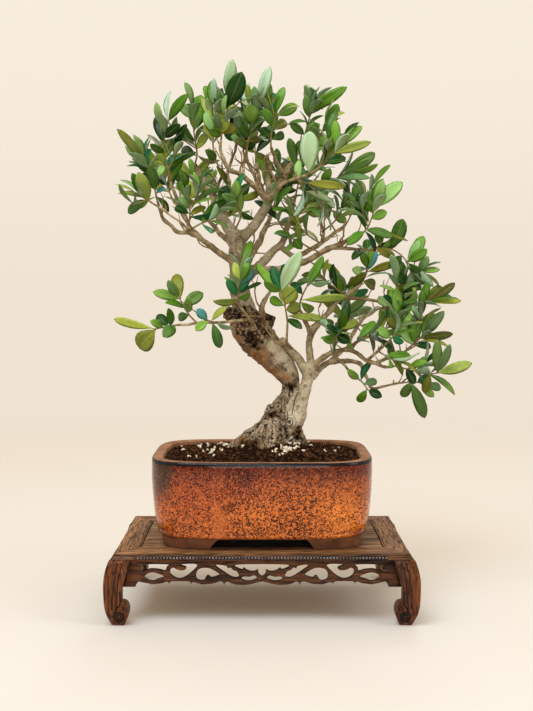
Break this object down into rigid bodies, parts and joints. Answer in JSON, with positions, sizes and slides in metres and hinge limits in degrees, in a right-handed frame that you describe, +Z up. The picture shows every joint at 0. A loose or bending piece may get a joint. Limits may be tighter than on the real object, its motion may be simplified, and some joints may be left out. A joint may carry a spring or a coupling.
{
  "type": "olive bonsai",
  "caption": "Old olive tree grown as a bonsai in a glazed oblong stoneware pot, standing on a low carved wooden display stand.",
  "frame": {"origin": "on the surface that the stand rests on, under the middle of the whole object's box", "axes": "+Z up, -Y towards the display side, +X to the right seen from that side"},
  "size_m": [0.385, 0.2192, 0.5835],
  "materials": {
    "stand_wood": "oiled dark hardwood",
    "pot_stoneware": "speckled russet glaze with a bare lip and foot",
    "screen_plastic": "matte",
    "soil": "loose granules",
    "olive_bark": "rough grey-brown bark",
    "olive_leaf": "leathery leaf, paler underneath"
  },
  "bodies": {
    "root": {"drain_screen": "screen_plastic", "pot": "pot_stoneware", "soil": "soil", "spray_arch_end": "olive_leaf", "spray_arm_back": "olive_leaf", "spray_arm_end": "olive_leaf", "spray_arm_far": "olive_leaf", "spray_arm_up": "olive_leaf", "spray_brown_end": "olive_leaf", "spray_crown_centre": "olive_leaf", "spray_crown_far": "olive_leaf", "spray_crown_left": "olive_leaf", "spray_crown_mid": "olive_leaf", "spray_crown_right": "olive_leaf", "spray_front": "olive_leaf", "spray_front_right": "olive_leaf", "spray_left_high": "olive_leaf", "spray_left_inner": "olive_leaf", "spray_left_outer": "olive_leaf", "spray_left_rear": "olive_leaf", "spray_left_top": "olive_leaf", "spray_left_twig_end": "olive_leaf", "spray_left_twig_mid": "olive_leaf", "spray_left_twig_up": "olive_leaf", "spray_low_end": "olive_leaf", "spray_mid_back_end": "olive_leaf", "spray_mid_end": "olive_leaf", "spray_mid_front": "olive_leaf", "spray_mid_rise": "olive_leaf", "spray_mid_up": "olive_leaf", "spray_pale_drop": "olive_leaf", "spray_pale_inner": "olive_leaf", "spray_rear_centre": "olive_leaf", "spray_rear_left_end": "olive_leaf", "spray_rear_limb_end": "olive_leaf", "spray_right_crown": "olive_leaf", "spray_right_fan": "olive_leaf", "spray_right_fan_low": "olive_leaf", "spray_rise_end": "olive_leaf", "spray_side_far": "olive_leaf", "spray_side_far_low": "olive_leaf", "spray_side_inner": "olive_leaf", "spray_side_rear_end": "olive_leaf", "spray_side_up": "olive_leaf", "spray_top_left": "olive_leaf", "spray_top_left_inner": "olive_leaf", "stand_apron_back": "stand_wood", "stand_apron_front": "stand_wood", "stand_apron_left": "stand_wood", "stand_apron_right": "stand_wood", "stand_leg_back_left": "stand_wood", "stand_leg_back_right": "stand_wood", "stand_leg_front_left": "stand_wood", "stand_leg_front_right": "stand_wood", "stand_panel": "stand_wood", "stand_rail_back": "stand_wood", "stand_rail_front": "stand_wood", "stand_rail_left": "stand_wood", "stand_rail_right": "stand_wood", "tree_wood": "olive_bark"}
  },
  "joints": []
}
